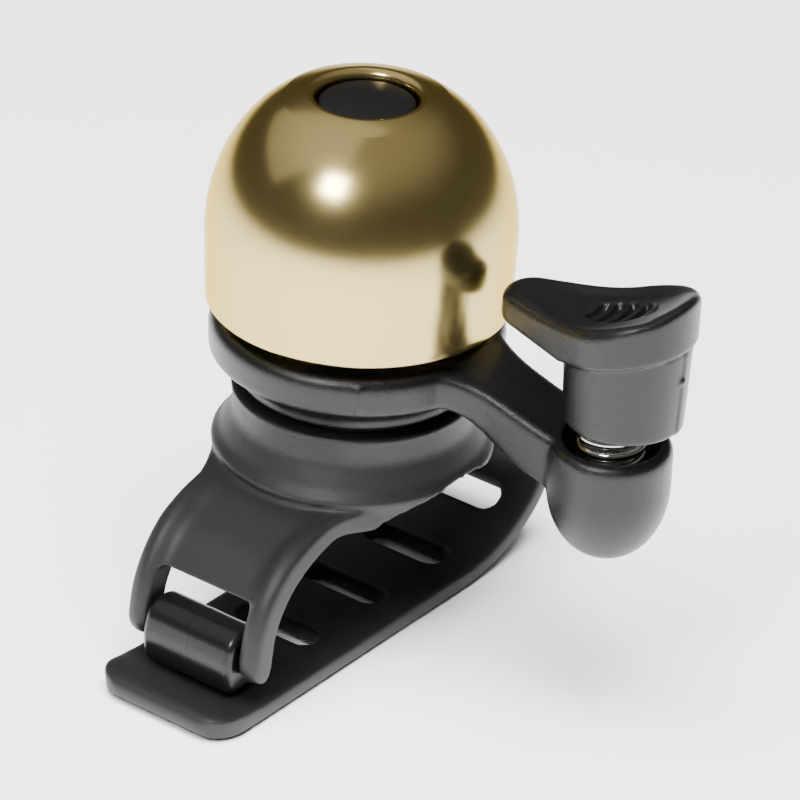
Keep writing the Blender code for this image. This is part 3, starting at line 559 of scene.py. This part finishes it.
def head_plan(count):
    """Outline points and, for each, its foot on the line between the two circle centres."""
    lean = np.arccos((OUTER_RADIUS - NOSE_RADIUS) / (OUTER - NOSE))
    outer = np.linspace(-np.pi + lean, np.pi - lean, int(count * 0.5))
    nose = np.linspace(np.pi - lean, np.pi + lean, int(count * 0.16))
    side = np.linspace(0, 1, int(count * 0.17))[1:-1]
    ring = [np.stack([OUTER + OUTER_RADIUS * np.cos(outer), OUTER_RADIUS * np.sin(outer)], -1)]
    ends = [np.stack([NOSE + NOSE_RADIUS * np.cos(nose), NOSE_RADIUS * np.sin(nose)], -1)]
    upper = ring[0][-1] + (ends[0][0] - ring[0][-1]) * side[:, None]
    lower = ends[0][-1] + (ring[0][0] - ends[0][-1]) * side[:, None]
    foot = np.concatenate([np.full(len(outer), OUTER), OUTER + (NOSE - OUTER) * side,
                           np.full(len(nose), NOSE), NOSE + (OUTER - NOSE) * side])
    return np.concatenate([ring[0], upper, ends[0], lower]), foot


def head_top(x, y):
    """Top of the head: rises with the cube of the way out, is dished across and carries the ribbed oval."""
    share = np.clip((x - HEAD_START) / HEAD_LENGTH, 0, 1)
    z = 25.9 + 6.0 * share ** 3
    wide = NOSE_RADIUS + (OUTER_RADIUS - NOSE_RADIUS) * smooth(x, 20.0, 33.0)
    z = z - 0.75 * smooth(wide - np.abs(y), 0.4, 3.6) * smooth(x, 22.5, 28.0)
    oval = ((x - 33.6) / 4.2) ** 2 + (y / 2.9) ** 2
    sunk = 1 - smooth(oval, 0.72, 1.12)
    ribs = 0.5 + 0.5 * np.cos(2 * np.pi * (x - 33.4 + 0.09 * y ** 2) / 1.75)
    return z - sunk * (0.95 - 0.75 * smooth(ribs, 0.45, 0.8))


def head_low(x):
    """Lower edge: falls to the body's inner side and rises from there outwards."""
    inward = 22.4 - 0.7 * (x - HEAD_START) / 10.3
    return np.where(x < 29.5, inward, 21.7 + 2.9 * (x - 29.5) / 12.6)


def head_body():
    """Rings: underside from the spine out, round lower edge, wall, round upper edge, dish to the spine."""
    plan, foot = head_plan(420)
    spine = np.stack([foot, 0 * foot], -1)
    reach = np.linalg.norm(plan - spine, axis=1)
    rows = []
    for share in np.linspace(1.0, 0.12, 10):
        at = spine + (plan - spine) * (1 - share)
        rows.append(np.stack([at[:, 0], at[:, 1], head_low(at[:, 0])], -1))
    for turn in np.radians(np.linspace(15, 90, 5)):
        at = plan + (spine - plan) * (HEAD_LOW_EDGE * (1 - np.sin(turn)) / reach)[:, None]
        low = head_low(plan[:, 0]) + HEAD_LOW_EDGE * (1 - np.cos(turn))
        rows.append(np.stack([at[:, 0], at[:, 1], low], -1))
    for turn in np.radians(np.linspace(0, 90, 14)):
        inset = HEAD_EDGE * (1 - np.cos(turn))
        at = plan + (spine - plan) * (inset / reach)[:, None]
        rim = head_top(at[:, 0], at[:, 1])
        rows.append(np.stack([at[:, 0], at[:, 1], rim - HEAD_EDGE * (1 - np.sin(turn))], -1))
    for share in np.linspace(0, 1, 84)[1:]:
        inset = HEAD_EDGE + (reach - HEAD_EDGE) * share
        at = plan + (spine - plan) * (inset / reach)[:, None]
        rows.append(np.stack([at[:, 0], at[:, 1], head_top(at[:, 0], at[:, 1])], -1))
    return put("striker_head", np.array(rows), fans=False)


def striker_barrel():
    """Tapered round body with a mould line and a gate mark at its outer end."""
    profile = rounded([(0.4, BODY_LOW, 0), (BODY_RADIUS - BODY_TAPER, BODY_LOW, 0.7),
                       (BODY_RADIUS, 24.2, 0.3), (BODY_RADIUS - 1.0, 25.0, 0.5), (0.4, 25.0, 0)], 9)
    heights = np.linspace(BODY_LOW + 1.2, 23.6, 60)
    wall = np.stack([BODY_RADIUS - BODY_TAPER * (1 - (heights - BODY_LOW) / 10.2), heights], -1)
    low, high = profile[profile[:, 1] < BODY_LOW + 1.0], profile[profile[:, 1] > 23.8]
    profile = np.concatenate([low, wall, high])
    c, s = circle(300)
    angle = np.angle(c + 1j * s)[None]
    r, z = profile[:, :1], profile[:, 1:2]
    line = 0.16 * smooth(angle, 0.0, 0.03) * (1 - smooth(angle, 0.03, 0.5)) * (r > 5)
    gate = 0.4 * np.exp(-((angle * 6.9) ** 2 + (z - 20.9) ** 2) / 0.35 ** 2) * (r > 5)
    r = r + line + gate
    return put("striker_barrel", np.stack([OUTER + r * c, r * s, z + 0 * c], -1))


def striker_hollow():
    """Cutter for the coil's room, leaving the peg inside the coil's upper end."""
    profile = rounded([(0.3, 12.5, 0), (5.2, 12.5, 0), (4.75, 16.0, 0.4), (4.7, 23.9, 0.3),
                       (2.4, 23.9, 0.2), (2.4, 18.9, 0.5), (0.3, 18.9, 0)], 5)
    return turned("striker_hollow", profile, 96, (REACH, 0.0), start=OFF_LINE)


def striker_mouth():
    """Cutter for the opening towards the dome."""
    plan = rounded([(24.0, -3.6, 0), (REACH - 2.7, -3.6, 0), (REACH - 2.7, 3.6, 0), (24.0, 3.6, 0)], 3)
    return prism("striker_mouth", plan, 12.0, 21.9)


striker = combined(head_body(), [striker_barrel()], "UNION")
combined(striker, [striker_hollow(), striker_mouth()], "DIFFERENCE")
moulded(striker, 0.19, 3)
along_arm(striker)
finished(striker, GRAINED, "striker", ["striker"])

# %% [markdown]
# ## The strap
# One rubber moulding: a collar on a saddle, a band that forks at its front end, a bend behind and a tongue
# with slots. The band is a rounded section carried along a side view of two curves, its outer and its inner
# face. Along the front band both edges rise into beads, which keeps a thin rubber fork from tearing.

# %% Strap
STRAP_HALF, TONGUE_LOW, TAB_CORNER, SADDLE_FLARE = 9.25, -22.0, 4.0, 2.6
BEAD_AT, BEAD_HALF, BEAD_RISE, PANEL_DEPTH = 7.8, 1.6, 0.35, 0.75
SLOTS = (-24.2, -12.35, -0.5, 11.35)
SLOT_LENGTH, SLOT_WIDTH = 10.9, 3.6
PIN_AT, PIN_BORE = (-25.2, -14.6), 1.2
SEAT_RADIUS = 15.0
OUTER_LINE = [(-27.6, -17.2), (-27.9, -14.5), (-27.1, -10.5), (-25.3, -7.1), (-22.7, -4.4),
              (-19.3, -2.7), (-15.3, -1.6), (-10.2, -0.8), (0.0, -0.4), (10.2, 0.4), (15.5, 0.2),
              (20.5, -2.3), (24.6, -5.6), (26.9, -9.6), (27.0, -13.0), (25.1, -16.4), (22.0, -18.9),
              (18.4, -20.6), (14.4, -21.6), (9.0, -22.0), (-5.0, -22.0), (-20.0, -22.0), (-27.0, -22.0),
              (-30.0, -22.0), (-33.8, -22.0)]
INNER_LINE = [(-24.8, -17.2), (-24.6, -14.5), (-23.9, -11.3), (-21.9, -8.2), (-19.3, -6.2),
              (-16.4, -4.9), (-13.6, -4.2), (-10.2, -4.0), (0.0, -4.0), (10.2, -4.0), (14.5, -3.4),
              (18.6, -5.0), (22.2, -7.7), (24.5, -10.6), (24.6, -12.7), (23.0, -14.9), (20.4, -16.9),
              (17.3, -18.5), (13.6, -19.5), (9.0, -19.75), (-5.0, -19.7), (-20.0, -19.7),
              (-26.4, -19.65), (-31.0, -19.2), (-33.8, -19.2)]


def band():
    """Section across x between the two side curves.

    The section is |x|^12 + |t|^12 = 1, x the share of the half width and t the way from the middle to a face.
    The half width grows at the saddle and rounds off at the tab's corners. In front the outer face rises into
    a bead along each edge and sinks a little between them.
    """
    count, power = 420, 12.0
    both = spline(np.concatenate([OUTER_LINE, INNER_LINE], axis=1), count)
    outer, inner = both[:, :2], both[:, 2:]
    middle, across = (outer + inner) / 2, (outer - inner) / 2
    s = np.arange(count) / (count - 1)
    length = np.concatenate([[0], np.cumsum(np.linalg.norm(np.diff(middle, axis=0), axis=1))])
    tip = np.clip(length / 2.2, 0, 1)
    tail = np.clip((length[-1] - length) / TAB_CORNER, 0, 1)
    shrink = np.sqrt(1 - (1 - tip) ** 2 * 0.96)
    corner = TAB_CORNER * (1 - np.sqrt(1 - (1 - tail) ** 2 * 0.98))
    saddle = smooth(middle[:, 0], -15.5, -9.0) * (1 - smooth(middle[:, 0], 9.0, 15.5))
    half = STRAP_HALF - corner + SADDLE_FLARE * saddle * (middle[:, 1] > -10)
    thin = np.sqrt(1 - np.clip(1 - (length[-1] - length) / 1.2, 0, 1) ** 2 * 0.9)
    angle = np.linspace(0, 2 * np.pi, 160, endpoint=False)[None]
    c, sn = np.cos(angle), np.sin(angle)
    squarer = (np.abs(c) ** power + np.abs(sn) ** power) ** (-1 / power)
    x = half[:, None] * c * squarer
    t = (shrink * thin)[:, None] * sn * squarer
    front = (1 - smooth(middle[:, 0], -19.5, -14.5)) * (1 - smooth(s, 0.30, 0.32))
    from_middle = np.abs(x) * STRAP_HALF / half[:, None]
    panel = 1 - smooth(from_middle, 5.4, 7.4)
    bead = 1 - smooth(np.abs(from_middle - BEAD_AT), 0.0, BEAD_HALF)
    rise = front[:, None] * (BEAD_RISE * bead - PANEL_DEPTH * panel) * (t > 0.3)
    thick = np.linalg.norm(across, axis=1)[:, None]
    t = t + rise / thick
    y, z = middle[:, :1] + across[:, :1] * t, middle[:, 1:] + across[:, 1:] * t
    return put("strap_moulding", np.stack([x, y, z], -1))


def collar():
    """Turned collar: flange lip, hollow waist and upper rim."""
    profile = rounded([(0.4, -3.6, 0), (15.1, -3.6, 0.5), (15.4, -1.9, 0.4), (16.0, -0.35, 0.3),
                       (15.0, 0.7, 1.2), (13.6, 3.4, 2.5), (13.7, 5.9, 1.0), (14.0, 6.6, 0.3), (0.4, 6.6, 0)])
    return turned("collar", profile, 192)


def stadium(length, width, count=40):
    """Long round-ended outline: a circle whose two halves are pulled apart."""
    c, s = circle(count, np.pi / count)
    return np.stack([c * width / 2 + np.sign(c) * (length - width) / 2, s * width / 2], -1)


def slot_cutter(name, y, z, tilt, depth):
    """Straight hole with a slot's outline, leaning by tilt about X."""
    plan = stadium(SLOT_LENGTH, SLOT_WIDTH)
    h = np.array([-depth, depth])[:, None]
    across, c, s = plan[None, :, 1], np.cos(tilt), np.sin(tilt)
    return put(name, np.stack([plan[None, :, 0] + 0 * h, y + across * c - h * s, z + across * s + h * c], -1))


def strap_cutters():
    """Handlebar arch, collar pocket, fork window, pin hole, and the slots."""
    arch = rod("arch", round_section((0, -SEAT_RADIUS), SEAT_RADIUS, 180)[11:80], 18.0)
    pocket = turned("pocket", np.array([[0.4, 1.9], [11.1, 1.9], [11.1, 9.0], [0.4, 9.0]]), 96)
    plan = rounded([(-6.5, -32.0, 0.1), (6.5, -32.0, 0.1), (6.5, -21.6, 1.0), (-6.5, -21.6, 1.0)])
    window = prism("window", plan, -18.6, -8.6)
    hole = rod("pin_hole", round_section(PIN_AT, PIN_BORE, 40), 8.4)
    slots = [slot_cutter(f"slot_{n}", y, -20.5, 0.0, 3.2) for n, y in enumerate(SLOTS)]
    slots.append(slot_cutter("bend_slot", 22.2, -17.1, np.radians(42), 3.6))
    return [arch, pocket, window, hole, *slots]


strap = combined(band(), [collar()], "UNION")
combined(strap, strap_cutters(), "DIFFERENCE")
moulded(strap, 0.29, 7)
finished(strap, RUBBER, "mounting", ["strap"])

# %% [markdown]
# ## The hook
# The block between the fork's arms is smooth black nylon: a rounded shell over the pin, with a blade below
# that drops into the tongue's first slot. Its side view is a filleted outline, drawn in at both ends so that
# the edges are round all the way about.

# %% Strap hook
HOOK_HALF, HOOK_EDGE, PARTING = 6.2, 0.9, 0.035


def hook_shell():
    """Side outline (y, z) carried across x, shrunk at both ends by a quarter circle.

    In the middle it swells by exp(-(x / 0.1)^2) into a fine parting line.
    """
    side = rounded([(-28.6, -19.2, 1.2), (-22.9, -19.2, 0.5), (-22.8, -11.8, 2.8), (-28.0, -11.8, 3.8),
                    (-29.1, -15.6, 4.5)], 12)
    centre = side.mean(0)
    reach = np.linalg.norm(side - centre, axis=1)
    flat = HOOK_HALF - HOOK_EDGE
    turn = np.linspace(0, np.pi / 2, 9)
    x = np.concatenate([-HOOK_HALF + HOOK_EDGE * (1 - np.cos(turn)), np.linspace(-flat, flat, 61)[1:-1],
                        HOOK_HALF - HOOK_EDGE * (1 - np.cos(turn[::-1]))])
    past = np.clip(np.abs(x) - flat, 0, HOOK_EDGE) / HOOK_EDGE
    inset = HOOK_EDGE * (1 - np.sqrt(np.clip(1 - past ** 2, 0, 1)))
    ridge = PARTING * np.exp(-(x / 0.1) ** 2)
    scale = 1 - (inset - ridge)[:, None] / reach[None]
    yz = centre + (side - centre)[None] * scale[..., None]
    across = np.repeat(x[:, None, None], len(side), 1)
    return put("hook_shell", np.concatenate([across, yz], -1))


def hook_blade():
    """Rounded plate below the shell that drops into the tongue's slot."""
    plan = rounded([(-4.5, -25.25, 0.9), (4.5, -25.25, 0.9), (4.5, -23.15, 0.9), (-4.5, -23.15, 0.9)], 6)
    return prism("hook_blade", plan, -21.8, -17.0)


hook = combined(hook_shell(), [hook_blade()], "UNION")
combined(hook, [rod("hook_bore", round_section(PIN_AT, PIN_BORE, 48), 8.0)], "DIFFERENCE")
finished(hook, HOOK_BLACK, "hook", ["strap_hook"], crease=60)

# %% [markdown]
# ## Hardware that keeps its solid
# Bolts, washers, grommets and the pin are small and mostly hidden. Their solids are exact enough, so they
# only get a finish.

# %% Finishes for the frame's own nodes
HARDWARE = {"hook_pin": (BRIGHT, "bright_steel"), "wave_washer": (BRIGHT, "bright_steel"),
            "swivel_insert": (NYLON, "nylon"), "glide_ring": (NYLON, "nylon"),
            "lower_grommet": (RUBBER, "rubber"), "upper_grommet": (RUBBER, "rubber"),
            "pivot_bolt": (ZINC, "zinc_steel"), "bolt_washer": (ZINC, "zinc_steel"),
            "jam_nut": (ZINC, "zinc_steel"), "centre_post": (ZINC, "zinc_steel"),
            "post_washer": (ZINC, "zinc_steel"), "dome_screw": (ZINC, "zinc_steel")}
for node, (material, slot_name) in HARDWARE.items():
    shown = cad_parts[node]
    shown.data.materials.clear()
    shown.data.materials.append(material)
print("hardware with a finish:", len(HARDWARE))

# %% [markdown]
# ## Floor, light and camera
# A pale floor fills the view. The brass mirrors it in the lower half of the dome and the dim room in the
# upper half, so the room is kept darker than the floor. The overhead lamp lights the floor and is left out
# of the mirror. The key lamp in front draws the highlights, and a wide dim one at the left lightens the
# shoulder.

# %% Stage
FLOOR_SIZE, FLOOR_GAP = 4.0, 0.0002
bpy.ops.mesh.primitive_plane_add(size=FLOOR_SIZE, location=(0, 0, TONGUE_LOW * MM - FLOOR_GAP))
floor = bpy.context.object
floor.name = "floor"
floor.data.materials.append(finish("pale_floor", "#f4f4f3", Roughness=0.6)[0])

room = bpy.data.worlds.new("room")
bpy.context.scene.world = room
room.use_nodes = True
background = room.node_tree.nodes["Background"]
ray = add(room.node_tree, "ShaderNodeTexCoord").outputs["Generated"]
height = add(room.node_tree, "ShaderNodeSeparateXYZ", {"Vector": ray}).outputs["Z"]
ceiling = add(room.node_tree, "ShaderNodeMapRange", {"Value": height, "From Min": 0.4, "From Max": 0.95,
                                                     "To Min": 0.15, "To Max": 0.55},
              interpolation_type="SMOOTHSTEP")
room.node_tree.links.new(ceiling.outputs["Result"], background.inputs["Strength"])
background.inputs["Color"].default_value = linear("#d8d4cc")


def lamp(name, azimuth, elevation, distance, size, power, mirrored=True):
    """Square area light aimed at the bell from an azimuth (0 in front, 90 to the right) and an elevation."""
    a, e = np.radians([azimuth, elevation])
    place = np.array([np.sin(a) * np.cos(e), -np.cos(a) * np.cos(e), np.sin(e)]) * distance
    data = bpy.data.lights.new(name, "AREA")
    data.shape, data.size, data.energy = "SQUARE", size, power
    made = bpy.data.objects.new(name, data)
    made.location = place
    made.rotation_euler = (-Vector(place)).to_track_quat("-Z", "Y").to_euler()
    made.visible_glossy = mirrored
    bpy.context.scene.collection.objects.link(made)
    return made


lamp("overhead", 36, 78, 0.6, 0.42, 17, mirrored=False)
lamp("key", 6, 46, 1.1, 0.24, 10)
lamp("left", -75, 58, 1.5, 1.8, 4)

# %% [markdown]
# ## Camera
# A long lens from 0.55 m keeps the dome's rim nearly a plain ellipse. The camera is placed on a line through
# the centre of the rim, rolled by a small angle and then turned a little. A sideways shift of the lens would
# frame the bell as well, but it would push every other view off centre.

# %% Camera
AZIMUTH, ELEVATION, ROLL, DISTANCE, LENS, SENSOR = 36.7, 28.227, 2.582, 0.5518, 225.0, 36.0
RIM_AT = np.array([0.0, 0.0, RIM * MM])
RIGHT_OF_CENTRE, ABOVE_CENTRE = -0.05169, 0.131375  # the rim's place, in widths of the frame


def aim_camera():
    """Camera on a line from the dome's rim, rolled a little, then turned until the rim sits off centre."""
    a, e, roll = np.radians([AZIMUTH, ELEVATION, ROLL])
    back = np.array([np.sin(a) * np.cos(e), -np.cos(a) * np.cos(e), np.sin(e)])
    right = np.array([np.cos(a), np.sin(a), 0.0])
    up = np.cross(back, right)
    right, up = right * np.cos(roll) + up * np.sin(roll), up * np.cos(roll) - right * np.sin(roll)
    place = RIM_AT + back * DISTANCE
    back = back + (right * RIGHT_OF_CENTRE + up * ABOVE_CENTRE) * SENSOR / LENS
    back = back / np.linalg.norm(back)
    right = right - back * (right @ back)
    right = right / np.linalg.norm(right)
    up = np.cross(back, right)
    data = bpy.data.cameras.new("camera")
    data.lens, data.sensor_width, data.clip_start, data.clip_end = LENS, SENSOR, 0.05, 20.0
    made = bpy.data.objects.new("camera", data)
    made.matrix_world = Matrix([[right[k], up[k], back[k], place[k]] for k in range(3)] + [[0, 0, 0, 1]])
    bpy.context.scene.collection.objects.link(made)
    bpy.context.scene.camera = made
    print("camera", np.round(place, 4), "frame at the bell", round(SENSOR / LENS * DISTANCE / MM, 1), "mm")


aim_camera()
